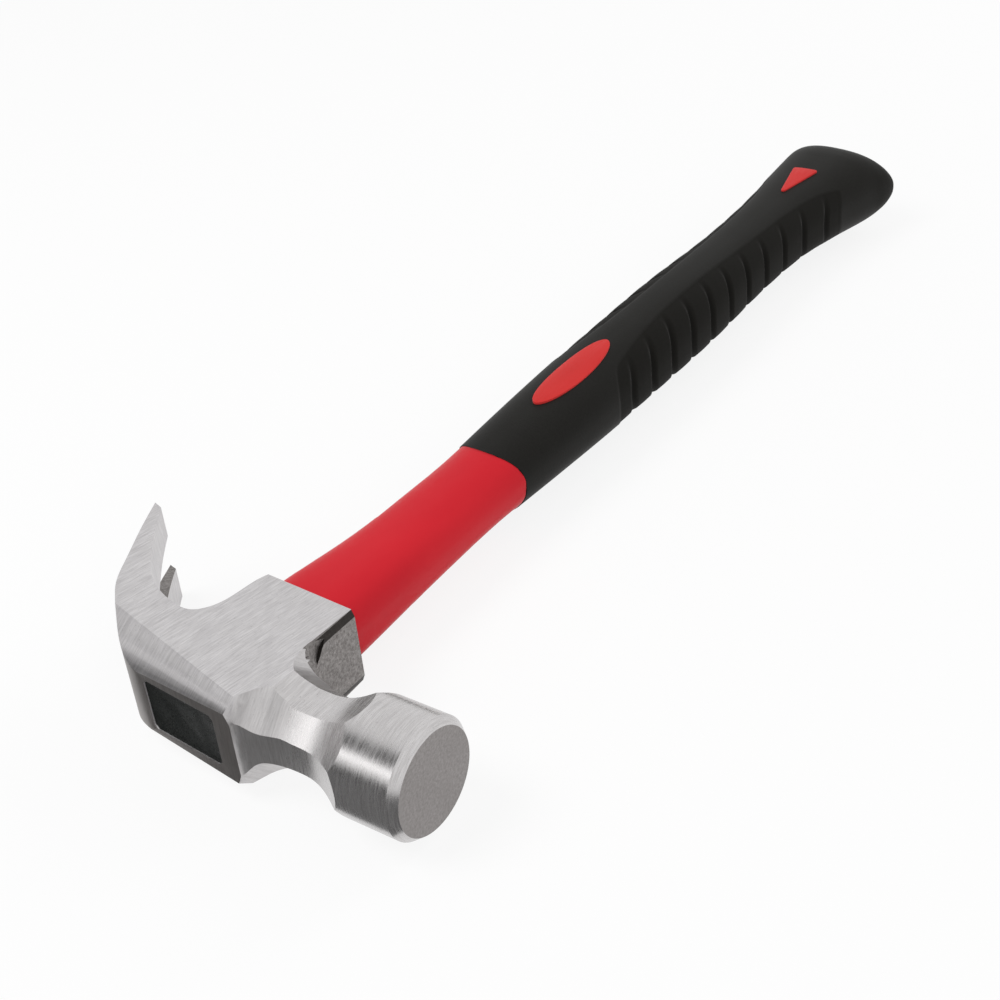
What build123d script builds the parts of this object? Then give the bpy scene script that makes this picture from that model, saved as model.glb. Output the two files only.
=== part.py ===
from build123d import *
import os
from math import copysign, cos, pi, radians, sin, tan

os.makedirs("parts", exist_ok=True)

# Curved claw hammer with a moulded handle, in millimetres.
# The origin is the centre of the striking face. +X points out of that face,
# +Y runs along the handle toward its butt, and +Z rises out of the near cheek.

# Longest reach of any cutting tool past the piece it cuts
overrun = 20.0

# Head: reach, poll and striking face
face_reach = 53.6
poll_diameter = 27.0
face_diameter = 23.8
face_bevel_length = 2.0

# Head: eye block between the cheeks, which flare toward the claw and draw in toward the skirt
head_thickness = 24.3
cheek_flare = 3.3
cheek_draft = 2.9
crown_height = 12.2
crown_tilt = 5.0
crown_front = 10.6
crown_rear = 17.4
crown_edge_front = 2.6
crown_edge_rear = 5.5
crown_edge_drop = 3.4
skirt_depth = 26.8
skirt_front = 13.5
skirt_rear = 11.4
skirt_corner_width = 1.0
skirt_corner_thickness = 2.4
neck_root_depth = 10.0

# Head: neck between the eye block and the poll, ground to eight hollow facets
neck_waist_reach = 25.5
neck_waist_width = 17.2
neck_corner_width = 17.5
neck_end_reach = 38.6
neck_shoulder_slope_share = 0.55
neck_corner_pass_width = 10.8

# Head: where each facet of the neck runs out into the eye block, as shares of the waist's reach
# and of the poll's radius
cheek_entry_shares = ((0.612, 1.037), (0.620, 0.830), (0.796, 0.681))
crown_entry_shares = ((0.455, 1.052), (0.588, 0.756), (0.804, 0.644))
skirt_entry_shares = ((0.518, 1.333), (0.573, 0.889), (0.765, 0.689))
crown_corner_entry_shares = ((0.380, 1.356), (0.431, 1.141), (0.494, 0.933), (0.600, 0.748), (0.784, 0.667))
skirt_corner_entry_shares = ((0.533, 1.630), (0.486, 1.222), (0.514, 0.978), (0.624, 0.770), (0.804, 0.674))

# Head: claw, its nail slot and its outlines as shares of its reach and drop
claw_reach = 53.8
claw_drop = 34.3
claw_tip_thickness = 2.8
claw_tip_angle = -17.0
claw_slot_mouth = 10.8
claw_slot_root_width = 2.4
claw_slot_root_reach = 20.0
claw_back_shares = (
    (-0.51, -0.15),
    (-0.60, -0.01),
    (-0.70, 0.15),
    (-0.79, 0.38),
    (-0.90, 0.69),
    (-1.0, 1.0),
)
claw_belly_shares = (
    (-0.845, 0.745),
    (-0.747, 0.556),
    (-0.605, 0.335),
    (-0.424, 0.215),
    (-0.314, 0.218),
    (-0.262, 0.314),
    (-0.236, 0.486),
)

# Eye, a slanting hole from the crown to the open end of the skirt
eye_width = 22.4
eye_thickness = 13.6
eye_skirt_width = 17.6
eye_skirt_thickness = 14.6
eye_crown_offset = 5.0
eye_skirt_offset = 1.8
eye_corner = 1.0
resin_recess = 0.9

# Fibreglass core
core_diameter = 11.0
core_end_cover = 16.0
core_crown_cover = 4.0

# Jacket, from the skirt to the grip, with its tenon in the eye and its stem in the grip.
# Each station gives shares of the bare length, the width and the thickness, and the power of its section.
jacket_width = 21.1
jacket_thickness = 16.9
jacket_root_shift = -1.0
jacket_station_shares = (
    (0.0, 1.13, 1.13, 1.0, 3.2),
    (0.12, 1.11, 1.10, 0.8, 3.1),
    (0.28, 1.05, 1.05, 0.3, 2.9),
    (0.58, 1.0, 1.0, 0.0, 2.6),
    (0.85, 1.0, 1.0, 0.0, 2.4),
    (1.0, 1.04, 1.04, 0.0, 2.4),
)
tenon_height = 12.0
tenon_width = 15.0
tenon_thickness = 13.0
stem_width = 18.0
stem_thickness = 14.4
stem_corner_radius = 6.0
stem_end_cover = 9.0

# Grip, from its front edge to the butt.
# Each station gives shares of the grip's length, width and thickness, its centre's share of the width
# toward the striking face, its share of the butt's slant, and the power of its section.
handle_length = 307.0
butt_slant = 7.0
grip_start = 96.5
grip_width = 27.2
grip_thickness = 21.8
grip_station_shares = (
    (0.0, 0.85, 0.85, 0.0, 0.0, 2.4),
    (0.08, 0.88, 0.88, 0.0, 0.0, 2.4),
    (0.205, 0.945, 0.945, 0.0, 0.0, 2.4),
    (0.34, 0.985, 0.985, 0.0, 0.0, 2.4),
    (0.475, 1.0, 1.0, 0.0, 0.0, 2.4),
    (0.63, 0.93, 0.94, 0.0, 0.0, 2.4),
    (0.75, 0.965, 0.96, 0.0, 0.0, 2.4),
    (0.85, 1.11, 1.03, 0.02, 0.2, 2.5),
    (0.92, 1.25, 1.10, 0.05, 0.6, 2.6),
    (0.945, 1.31, 1.11, 0.06, 0.8, 2.6),
    (0.966, 1.36, 1.04, 0.065, 0.9, 2.5),
    (0.983, 1.38, 0.83, 0.065, 1.0, 2.4),
    (0.994, 1.34, 0.54, 0.06, 1.0, 2.4),
    (1.0, 1.20, 0.26, 0.05, 1.0, 2.4),
)
section_steps = 16

# Ribbed panels on both edges of the grip, on either side of a smooth spine.
# Each spine station gives shares of the panel length and of the grip width.
panel_recess = 0.35
panel_front = 143.0
panel_rear = 279.0
spine_station_shares = (
    (0.0, 0.40),
    (0.029, 0.312),
    (0.066, 0.279),
    (0.147, 0.228),
    (0.243, 0.195),
    (0.331, 0.188),
    (0.412, 0.191),
    (0.5, 0.202),
    (0.625, 0.224),
    (0.75, 0.25),
    (0.838, 0.29),
    (0.912, 0.349),
    (0.978, 0.45),
    (1.0, 0.53),
)
groove_count = 11
groove_first = 148.2
groove_pitch = 10.6
groove_pitch_growth = 0.27
groove_bow = 5.0
groove_width = 4.4
groove_floor_width = 1.2
groove_depth = 1.2

# Raised inlays on the near face of the grip
inlay_height = 0.5
inlay_depth = 1.6
oval_length = 36.0
oval_width = 11.6
oval_centre = 137.0
triangle_length = 19.8
triangle_width = 9.2
triangle_apex = 260.4
triangle_corner_radius = 0.8

facet_height = 2 * overrun
half_thickness = head_thickness / 2
poll_radius = poll_diameter / 2
grip_length = handle_length - grip_start
crown_slope = tan(radians(crown_tilt))
eye_frame = Plane(origin=(-face_reach, 0, 0))


def across_handle(y, slant=0):
    """Plane across the handle at y from the head axis, its +X side drawn back by slant degrees."""
    along = (-sin(radians(slant)), -cos(radians(slant)), 0)
    return Plane(origin=(-face_reach, y, 0), x_dir=(-along[1], along[0], 0), z_dir=along)


def crown_at(x):
    """Height of the crown plane above the head axis at x from the handle axis."""
    return crown_height + crown_slope * x


def cheek_at(x, y):
    """Height of the near cheek above the middle plane, at x and y from the crossing of the two axes."""
    return half_thickness - tan(radians(cheek_flare)) * x - tan(radians(cheek_draft)) * y


def crown_edge(side):
    """Plane that cuts the edge between the crown and one cheek, wider toward the claw. Side is 1 or -1."""
    front = Vector(crown_front, -crown_at(crown_front), 0)
    rear = Vector(-crown_rear, -crown_at(-crown_rear), 0)
    foot = Vector(crown_front, crown_edge_drop - crown_at(crown_front), 0)
    front.Z = side * (cheek_at(front.X, front.Y) - crown_edge_front)
    rear.Z = side * (cheek_at(rear.X, rear.Y) - crown_edge_rear)
    foot.Z = side * cheek_at(foot.X, foot.Y)
    return Plane(origin=front - Vector(face_reach, 0, 0), z_dir=side * (rear - front).cross(front - foot))


def section_points(width, thickness, shift, power):
    """Points of a squarish oval, a superellipse of the given power, centred at x = shift."""
    turns = [2 * pi * step / section_steps for step in range(section_steps)]
    return [
        (
            shift + width / 2 * copysign(abs(cos(turn)) ** (2 / power), cos(turn)),
            thickness / 2 * copysign(abs(sin(turn)) ** (2 / power), sin(turn)),
        )
        for turn in turns
    ]


def share_at(stations, place, column):
    """Value of one column of a table of shares, at a place along its first column."""
    for before, after in zip(stations, stations[1:]):
        if place <= after[0]:
            blend = (place - before[0]) / (after[0] - before[0])
            return before[column] + blend * (after[column] - before[column])
    return stations[-1][column]


def grip_body(growth):
    """Solid of the grip's outer shape, grown outward by the given distance."""
    with BuildPart() as body:
        for y_share, width_share, thickness_share, shift_share, slant_share, power in grip_station_shares:
            with BuildSketch(across_handle(grip_start + y_share * grip_length, slant_share * butt_slant)):
                with BuildLine():
                    width = width_share * grip_width + 2 * growth
                    thickness = thickness_share * grip_thickness + 2 * growth
                    Spline(*section_points(width, thickness, shift_share * grip_width, power), periodic=True)
                make_face()
        loft()
    return body.part


def grind_facet(turn, waist, entry_shares, half_width):
    """Cut one hollow facet of the neck, turned about the head axis from the near cheek."""
    entry_points = [(along * neck_waist_reach, up * poll_radius) for along, up in entry_shares]
    outward = Vector(0, -sin(radians(turn)), cos(radians(turn)))
    facet_plane = Plane(origin=(-face_reach, 0, 0), x_dir=(1, 0, 0), z_dir=Vector(1, 0, 0).cross(outward))
    with BuildSketch(facet_plane) as facet:
        with BuildLine():
            shoulder = Spline(
                (neck_waist_reach, waist),
                (neck_end_reach, poll_radius),
                tangents=((1, 0), (1, neck_shoulder_slope_share)),
            )
            run_out = PolarLine(shoulder @ 1, overrun, direction=shoulder % 1)
            entry = Spline(
                *entry_points,
                (neck_waist_reach, waist),
                tangents=((0, -1), (1, 0)),
            )
            Polyline(
                entry @ 0,
                (entry_points[0][0], facet_height),
                ((run_out @ 1).X, facet_height),
                run_out @ 1,
            )
        make_face()
    extrude(facet.sketch, amount=half_width, both=True, mode=Mode.SUBTRACT)


near_cheek = Plane(
    origin=(-face_reach, 0, half_thickness),
    z_dir=(tan(radians(cheek_flare)), tan(radians(cheek_draft)), 1),
)
far_cheek = Plane(
    origin=(-face_reach, 0, -half_thickness),
    z_dir=(tan(radians(cheek_flare)), tan(radians(cheek_draft)), -1),
)
skirt_side = cheek_at(skirt_front, skirt_depth)
eye_top = crown_at(crown_front) + resin_recess
resin_level = Plane(
    origin=(-face_reach, resin_recess - crown_height, 0),
    z_dir=(crown_slope, 1, 0),
)
slot_direction = Vector(-claw_reach, claw_drop, 0) - Vector(-claw_slot_root_reach, 0, 0)
slot_length = slot_direction.length + claw_tip_thickness
slot_plane = Plane(
    origin=(-face_reach - claw_slot_root_reach, 0, 0),
    x_dir=slot_direction,
    z_dir=Vector(slot_direction.Y, -slot_direction.X, 0),
)
main_waist = neck_waist_width / 2
corner_waist = neck_corner_width / 2
facet_passes = (
    (225, corner_waist, skirt_corner_entry_shares, neck_corner_pass_width / 2),
    (315, corner_waist, skirt_corner_entry_shares, neck_corner_pass_width / 2),
    (270, main_waist, skirt_entry_shares, overrun),
    (0, main_waist, cheek_entry_shares, overrun),
    (180, main_waist, cheek_entry_shares, overrun),
    (45, corner_waist, crown_corner_entry_shares, overrun),
    (135, corner_waist, crown_corner_entry_shares, overrun),
    (90, main_waist, crown_entry_shares, overrun),
)

# The grip's outer shape, and the same shape grown or drawn in for the inlays and the panels
grip_shape = grip_body(0)
inlay_top = grip_body(inlay_height)
inlay_floor = grip_body(-inlay_depth)
panel_floor = grip_body(-panel_recess)

# Hammer head
with BuildPart() as hammer_head:
    # Eye block and claw in one side profile
    with BuildSketch(eye_frame) as cheek:
        with BuildLine():
            crown_line = Line((crown_front, -crown_at(crown_front)), (-crown_rear, -crown_at(-crown_rear)))
            back = Spline(
                crown_line @ 1,
                *[(across * claw_reach, along * claw_drop) for across, along in claw_back_shares],
            )
            tip = PolarLine(back @ 1, claw_tip_thickness, angle=claw_tip_angle)
            belly = Spline(
                tip @ 1,
                *[(across * claw_reach, along * claw_drop) for across, along in claw_belly_shares],
                (-skirt_rear, skirt_depth),
            )
            Polyline(
                belly @ 1,
                (skirt_front, skirt_depth),
                (skirt_front, neck_root_depth),
                (neck_waist_reach, neck_root_depth),
                (neck_waist_reach, -crown_at(crown_front)),
                crown_line @ 0,
            )
        make_face()
    extrude(amount=head_thickness, both=True)
    split(bisect_by=near_cheek, keep=Keep.BOTTOM)
    split(bisect_by=far_cheek, keep=Keep.BOTTOM)
    # Edges of the crown, cut back most toward the claw
    split(bisect_by=crown_edge(1), keep=Keep.BOTTOM)
    split(bisect_by=crown_edge(-1), keep=Keep.BOTTOM)
    # Poll bar, from the neck to the striking face
    with BuildSketch(Plane.YZ.offset(neck_waist_reach - face_reach)):
        Circle(poll_radius)
    extrude(amount=face_reach - neck_waist_reach)
    striking_edge = hammer_head.faces().sort_by(Axis.X)[-1].edges()
    chamfer(striking_edge, length=face_bevel_length, length2=(poll_diameter - face_diameter) / 2)
    # Eight hollow facets round the neck, each a grinding pass with its own run-out into the eye block
    for turn, waist, entry_shares, half_width in facet_passes:
        grind_facet(turn, waist, entry_shares, half_width)
    # Bevelled corners on the skirt
    with BuildSketch(across_handle(skirt_depth + overrun)) as skirt_bevels:
        for side in (1, -1):
            with BuildLine():
                Polyline(
                    (skirt_front, side * (skirt_side - skirt_corner_thickness)),
                    (skirt_front + overrun, side * (skirt_side - skirt_corner_thickness)),
                    (skirt_front - skirt_corner_width, side * (skirt_side + overrun)),
                    (skirt_front - skirt_corner_width, side * skirt_side),
                    close=True,
                )
            make_face()
    extrude(amount=overrun + skirt_depth - neck_root_depth, mode=Mode.SUBTRACT)
    # Eye through the block
    with BuildSketch(across_handle(-eye_top)) as eye_end:
        with Locations((-eye_crown_offset, 0)):
            Rectangle(eye_width, eye_thickness)
        chamfer(eye_end.vertices(), length=eye_corner)
    with BuildSketch(across_handle(skirt_depth)) as eye_end:
        with Locations((eye_skirt_offset, 0)):
            Rectangle(eye_skirt_width, eye_skirt_thickness)
        chamfer(eye_end.vertices(), length=eye_corner)
    loft(ruled=True, mode=Mode.SUBTRACT)
    # Nail slot between the claws
    with BuildSketch(slot_plane) as slot:
        with BuildLine():
            Polyline(
                (0, claw_slot_root_width / 2),
                (slot_length, claw_slot_mouth / 2),
                (slot_length, -claw_slot_mouth / 2),
                (0, -claw_slot_root_width / 2),
                close=True,
            )
        make_face()
        with Locations((0, 0)):
            Circle(claw_slot_root_width / 2)
    extrude(amount=claw_reach, both=True, mode=Mode.SUBTRACT)

hammer_head.part.label = "hammer_head"
export_step(hammer_head.part, "parts/hammer_head.step")

# Fibreglass core, a plain rod from the resin to the butt
with BuildPart() as fibreglass_core:
    with BuildSketch(across_handle(core_crown_cover - crown_height)):
        Circle(core_diameter / 2)
    extrude(amount=core_crown_cover - crown_height - handle_length + core_end_cover)

# Jacket: tenon in the eye, bare length, and a stem hidden in the grip
with BuildPart() as handle_jacket:
    for length_share, width_share, thickness_share, shift_share, power in jacket_station_shares:
        with BuildSketch(across_handle(skirt_depth + length_share * (grip_start - skirt_depth))):
            with BuildLine():
                Spline(
                    *section_points(
                        width_share * jacket_width,
                        thickness_share * jacket_thickness,
                        shift_share * jacket_root_shift,
                        power,
                    ),
                    periodic=True,
                )
            make_face()
    loft()
    with BuildSketch(across_handle(skirt_depth - tenon_height)):
        with Locations((eye_skirt_offset, 0)):
            Rectangle(tenon_width, tenon_thickness)
    extrude(amount=-tenon_height)
    with BuildSketch(across_handle(grip_start)):
        RectangleRounded(stem_width, stem_thickness, stem_corner_radius)
    extrude(amount=-(grip_length - stem_end_cover))
    add(fibreglass_core.part, mode=Mode.SUBTRACT)

# Resin that fills the eye round the core and the tenon
with BuildPart() as eye_resin:
    with BuildSketch(across_handle(-eye_top)) as eye_end:
        with Locations((-eye_crown_offset, 0)):
            Rectangle(eye_width, eye_thickness)
        chamfer(eye_end.vertices(), length=eye_corner)
    with BuildSketch(across_handle(skirt_depth)) as eye_end:
        with Locations((eye_skirt_offset, 0)):
            Rectangle(eye_skirt_width, eye_skirt_thickness)
        chamfer(eye_end.vertices(), length=eye_corner)
    loft(ruled=True)
    split(bisect_by=resin_level, keep=Keep.TOP)
    add(fibreglass_core.part, mode=Mode.SUBTRACT)
    add(handle_jacket.part, mode=Mode.SUBTRACT)

# Oval inlay, its top following the curve of the grip
with BuildPart() as oval_inlay:
    with BuildSketch(eye_frame):
        with Locations((0, oval_centre)):
            Ellipse(oval_width / 2, oval_length / 2)
    extrude(amount=grip_width)
    add(inlay_top, mode=Mode.INTERSECT)
    add(inlay_floor, mode=Mode.SUBTRACT)

# Triangle inlay, its apex toward the head
with BuildPart() as triangle_inlay:
    with BuildSketch(eye_frame) as outline:
        with BuildLine():
            Polyline(
                (0, triangle_apex),
                (triangle_width / 2, triangle_apex + triangle_length),
                (-triangle_width / 2, triangle_apex + triangle_length),
                close=True,
            )
        make_face()
        fillet(outline.vertices(), radius=triangle_corner_radius)
    extrude(amount=grip_width)
    add(inlay_top, mode=Mode.INTERSECT)
    add(inlay_floor, mode=Mode.SUBTRACT)

# Skin taken off the grip beside the spine, so that the ribs lie a little lower
with BuildPart() as panel_skin:
    with BuildSketch(eye_frame.offset(-grip_width)) as panels:
        with BuildLine():
            spine_edge = Spline(
                *[
                    (across * grip_width, panel_front + along * (panel_rear - panel_front))
                    for along, across in spine_station_shares
                ]
            )
            Polyline(spine_edge @ 0, (grip_width, panel_front), (grip_width, panel_rear), spine_edge @ 1)
        make_face()
        mirror(about=Plane.YZ)
    extrude(amount=2 * grip_width)
    add(panel_floor, mode=Mode.SUBTRACT)

# Grip sleeve, moulded over the jacket
with BuildPart() as grip_sleeve:
    add(grip_shape)
    add(panel_skin.part, mode=Mode.SUBTRACT)
    # Bowed grooves between the ribs, from spine edge to spine edge round each side
    for count in range(groove_count):
        middle = groove_first + count * groove_pitch + count * (count - 1) / 2 * groove_pitch_growth
        end = middle + groove_bow
        middle_share = share_at(grip_station_shares, (middle - grip_start) / grip_length, 1)
        end_place = (end - grip_start) / grip_length
        end_share = share_at(grip_station_shares, end_place, 1)
        end_thickness_share = share_at(grip_station_shares, end_place, 2)
        end_power = share_at(grip_station_shares, end_place, 5)
        spine_share = share_at(spine_station_shares, (end - panel_front) / (panel_rear - panel_front), 1)
        spine_height_share = (1 - (2 * spine_share / end_share) ** end_power) ** (1 / end_power)
        reach = middle_share * grip_width / 2
        height = spine_height_share * end_thickness_share * grip_thickness / 2
        for side in (1, -1):
            with BuildLine() as groove_path:
                ThreePointArc(
                    (side * spine_share * grip_width - face_reach, end, height),
                    (side * reach - face_reach, middle, 0),
                    (side * spine_share * grip_width - face_reach, end, -height),
                )
            start = groove_path.line @ 0
            outward = start - groove_path.edges()[0].arc_center
            across_path = Plane(origin=start, x_dir=outward, z_dir=groove_path.line % 0)
            with BuildSketch(across_path) as groove_profile:
                with BuildLine():
                    Polyline(
                        (groove_depth, groove_width - groove_floor_width / 2),
                        (-groove_depth, groove_floor_width / 2),
                        (-groove_depth, -groove_floor_width / 2),
                        (groove_depth, groove_floor_width / 2 - groove_width),
                        close=True,
                    )
                make_face()
            sweep(groove_profile.sketch, path=groove_path.line, mode=Mode.SUBTRACT)
    # Room for the inlays, the jacket's stem and the core
    add(oval_inlay.part, mode=Mode.SUBTRACT)
    add(triangle_inlay.part, mode=Mode.SUBTRACT)
    add(handle_jacket.part, mode=Mode.SUBTRACT)
    add(fibreglass_core.part, mode=Mode.SUBTRACT)

for piece, name in (
    (fibreglass_core, "fibreglass_core"),
    (handle_jacket, "handle_jacket"),
    (eye_resin, "eye_resin"),
    (oval_inlay, "oval_inlay"),
    (triangle_inlay, "triangle_inlay"),
    (grip_sleeve, "grip_sleeve"),
):
    piece.part.label = name
    export_step(piece.part, f"parts/{name}.step")
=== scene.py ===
import logging
import math
from dataclasses import dataclass
from enum import Enum
from typing import Callable, Iterable, Sequence

import bpy
from mathutils import Euler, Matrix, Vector

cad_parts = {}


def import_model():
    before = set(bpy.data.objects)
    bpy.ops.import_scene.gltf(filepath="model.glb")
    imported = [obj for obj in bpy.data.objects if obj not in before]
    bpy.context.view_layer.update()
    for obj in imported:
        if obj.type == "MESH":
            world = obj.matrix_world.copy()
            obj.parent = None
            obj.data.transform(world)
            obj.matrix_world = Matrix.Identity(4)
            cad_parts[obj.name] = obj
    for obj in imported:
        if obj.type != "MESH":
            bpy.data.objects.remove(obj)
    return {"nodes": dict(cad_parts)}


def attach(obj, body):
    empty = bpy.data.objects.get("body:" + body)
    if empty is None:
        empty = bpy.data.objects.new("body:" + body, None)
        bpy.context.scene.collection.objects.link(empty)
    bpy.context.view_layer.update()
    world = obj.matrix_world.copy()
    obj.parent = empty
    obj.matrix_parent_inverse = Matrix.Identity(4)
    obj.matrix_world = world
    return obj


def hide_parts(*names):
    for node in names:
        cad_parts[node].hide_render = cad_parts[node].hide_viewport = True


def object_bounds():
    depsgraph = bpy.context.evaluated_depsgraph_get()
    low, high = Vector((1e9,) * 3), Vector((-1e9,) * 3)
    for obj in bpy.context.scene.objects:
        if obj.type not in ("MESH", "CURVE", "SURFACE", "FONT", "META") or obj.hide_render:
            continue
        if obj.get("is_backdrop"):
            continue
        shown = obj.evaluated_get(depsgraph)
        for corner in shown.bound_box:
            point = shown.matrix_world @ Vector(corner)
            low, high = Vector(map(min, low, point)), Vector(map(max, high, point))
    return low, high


Triple = tuple[float, float, float]
Span = tuple[float, float]

MM = 0.001
AXIS_X = -53.6 * MM
WELD = 0.002 * MM
FLAT_ANGLE = 0.6
SMOOTH_ANGLE = 30.0
NO_TURN = (0.0, 0.0, 0.0)

log = logging.getLogger("hammer")


class Slot(Enum):
    """Names of the record's material slots."""

    STEEL = "head_steel"
    RESIN = "potting_resin"
    JACKET = "jacket_plastic"
    RUBBER = "grip_rubber"
    INLAY = "inlay_plastic"


class Grain(Enum):
    """Run of the marks on the steel, as cells per metre of a noise along X, Y and Z."""

    BELT = (2900.0, 190.0, 190.0)
    GRANULAR = (1500.0, 1500.0, 1500.0)


class Zone(Enum):
    """Zones of the head, numbered as its material slots."""

    CHEEK = 0
    NECK = 1
    # the skirt's own granular steel, also laid on the claw slot's inward walls as painted shade
    SKIRT = 2
    FACE = 3
    # BEVEL is near-black steel, painted shade on the skirt's corner bevels and overhang faces
    BEVEL = 4
    SLANT = 5
    CROWN = 6


def smoothstep(low: float, high: float, value: float) -> float:
    """Smooth blend from 0 at low to 1 at high.

    Args:
        low: Where the blend starts.
        high: Where the blend ends.
        value: The place to read.

    Returns:
        The blend, from 0 to 1.
    """
    share = min(1.0, max(0.0, (value - low) / (high - low)))
    return share * share * (3 - 2 * share)


def column_spline(rows: Sequence[Sequence[float]], column: int) -> Callable[[float], float]:
    """Smooth curve through one column of a table, over its first column.

    Args:
        rows: Table rows in rising order of their first value.
        column: The column to read.

    Returns:
        A function from a place to the column's value there.
    """
    places = [row[0] for row in rows]
    values = [row[column] for row in rows]
    slopes = []
    for i in range(len(rows)):
        before, after = max(0, i - 1), min(len(rows) - 1, i + 1)
        slopes.append((values[after] - values[before]) / (places[after] - places[before]))

    def read(place: float) -> float:
        """Value of the column at a place."""
        i = 0
        while i < len(places) - 2 and place > places[i + 1]:
            i += 1
        span = places[i + 1] - places[i]
        t = min(1.0, max(0.0, (place - places[i]) / span))
        return (
            (2 * t**3 - 3 * t**2 + 1) * values[i]
            + (t**3 - 2 * t**2 + t) * span * slopes[i]
            + (3 * t**2 - 2 * t**3) * values[i + 1]
            + (t**3 - t**2) * span * slopes[i + 1]
        )

    return read


class Paint:
    """One material's node tree, with short calls for the nodes that the finishes share."""

    def __init__(self, name: str) -> None:
        """Start a material with a Principled shader.

        Args:
            name: The material's name.
        """
        self.material = bpy.data.materials.new(name)
        self.material.use_nodes = True
        self.nodes = self.material.node_tree.nodes
        self.shader = self.nodes["Principled BSDF"]
        self.coords = self.nodes.new("ShaderNodeTexCoord")

    def link(self, start: bpy.types.NodeSocket, end: bpy.types.NodeSocket) -> None:
        """Join two sockets."""
        self.material.node_tree.links.new(start, end)

    def noise(
        self,
        scale: Sequence[float],
        detail: float = 3.0,
        turn: Sequence[float] = NO_TURN,
        roughness: float = 0.55,
    ) -> bpy.types.NodeSocket:
        """Noise on the object's own coordinates.

        Args:
            scale: Noise cells per metre along X, Y and Z.
            detail: Octaves of the noise.
            turn: Rotation of the pattern, in degrees.
            roughness: Weight of the finer octaves.

        Returns:
            The noise's value socket.
        """
        mapping = self.nodes.new("ShaderNodeMapping")
        mapping.vector_type = "TEXTURE"
        mapping.inputs["Scale"].default_value = [1.0 / cells for cells in scale]
        mapping.inputs["Rotation"].default_value = [math.radians(angle) for angle in turn]
        texture = self.nodes.new("ShaderNodeTexNoise")
        texture.inputs["Scale"].default_value = 1.0
        texture.inputs["Detail"].default_value = detail
        texture.inputs["Roughness"].default_value = roughness
        self.link(self.coords.outputs["Object"], mapping.inputs["Vector"])
        self.link(mapping.outputs["Vector"], texture.inputs["Vector"])
        return texture.outputs["Fac"]

    def ranged(
        self, value: bpy.types.NodeSocket, low: float, high: float, start: float = 0.3, end: float = 0.7
    ) -> bpy.types.NodeSocket:
        """Map a noise from start..end to low..high.

        Args:
            value: The socket to map.
            low: Output at start.
            high: Output at end.
            start: Input that gives low.
            end: Input that gives high.

        Returns:
            The mapped value socket.
        """
        node = self.nodes.new("ShaderNodeMapRange")
        for name, setting in (("From Min", start), ("From Max", end), ("To Min", low), ("To Max", high)):
            node.inputs[name].default_value = setting
        self.link(value, node.inputs["Value"])
        return node.outputs["Result"]

    def blend(
        self,
        factor: bpy.types.NodeSocket,
        first: Sequence[float] | bpy.types.NodeSocket,
        second: Sequence[float] | bpy.types.NodeSocket,
    ) -> bpy.types.NodeSocket:
        """Mix two colours.

        Args:
            factor: Share of the second colour.
            first: A colour or a colour socket.
            second: A colour or a colour socket.

        Returns:
            The mixed colour socket.
        """
        node = self.nodes.new("ShaderNodeMix")
        node.data_type = "RGBA"
        self.link(factor, node.inputs[0])
        for source, target in ((first, node.inputs[6]), (second, node.inputs[7])):
            if isinstance(source, bpy.types.NodeSocket):
                self.link(source, target)
            else:
                target.default_value = (*source, 1.0)
        return node.outputs[2]

    def along_x(self, low: float, high: float, start: float, end: float) -> bpy.types.NodeSocket:
        """Value that changes from low at X = start to high at X = end.

        Args:
            low: Output at start.
            high: Output at end.
            start: X in metres.
            end: X in metres.

        Returns:
            The value socket.
        """
        split = self.nodes.new("ShaderNodeSeparateXYZ")
        self.link(self.coords.outputs["Object"], split.inputs["Vector"])
        return self.ranged(split.outputs["X"], low, high, start, end)

    def add(self, first: bpy.types.NodeSocket, second: bpy.types.NodeSocket) -> bpy.types.NodeSocket:
        """Sum of two values.

        Args:
            first: A value socket.
            second: A value socket.

        Returns:
            The sum's socket.
        """
        node = self.nodes.new("ShaderNodeMath")
        self.link(first, node.inputs[0])
        self.link(second, node.inputs[1])
        return node.outputs[0]

    def bump(
        self, height: bpy.types.NodeSocket, depth: float, under: bpy.types.NodeSocket | None = None
    ) -> bpy.types.NodeSocket:
        """Bump from a height socket.

        Args:
            height: The height, from 0 to 1.
            depth: Depth of the bump in metres.
            under: A bump that this one lies on.

        Returns:
            The normal socket.
        """
        node = self.nodes.new("ShaderNodeBump")
        node.inputs["Distance"].default_value = depth
        node.inputs["Strength"].default_value = 1.0
        self.link(height, node.inputs["Height"])
        if under is not None:
            self.link(under, node.inputs["Normal"])
        return node.outputs["Normal"]

    def attribute(self, name: str) -> bpy.types.NodeSocket:
        """Value of a mesh attribute."""
        node = self.nodes.new("ShaderNodeAttribute")
        node.attribute_name = name
        return node.outputs["Fac"]

    def finish(
        self,
        colour: bpy.types.NodeSocket,
        roughness: bpy.types.NodeSocket,
        normal: bpy.types.NodeSocket,
        **constants: float,
    ) -> bpy.types.Material:
        """Wire the shader.

        Args:
            colour: Base colour socket.
            roughness: Roughness socket.
            normal: Normal socket.
            constants: Shader values that are the same all over, by socket name with underscores.

        Returns:
            The finished material.
        """
        self.link(colour, self.shader.inputs["Base Color"])
        self.link(roughness, self.shader.inputs["Roughness"])
        self.link(normal, self.shader.inputs["Normal"])
        for name, value in constants.items():
            self.shader.inputs[name.replace("_", " ")].default_value = value
        return self.material


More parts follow.
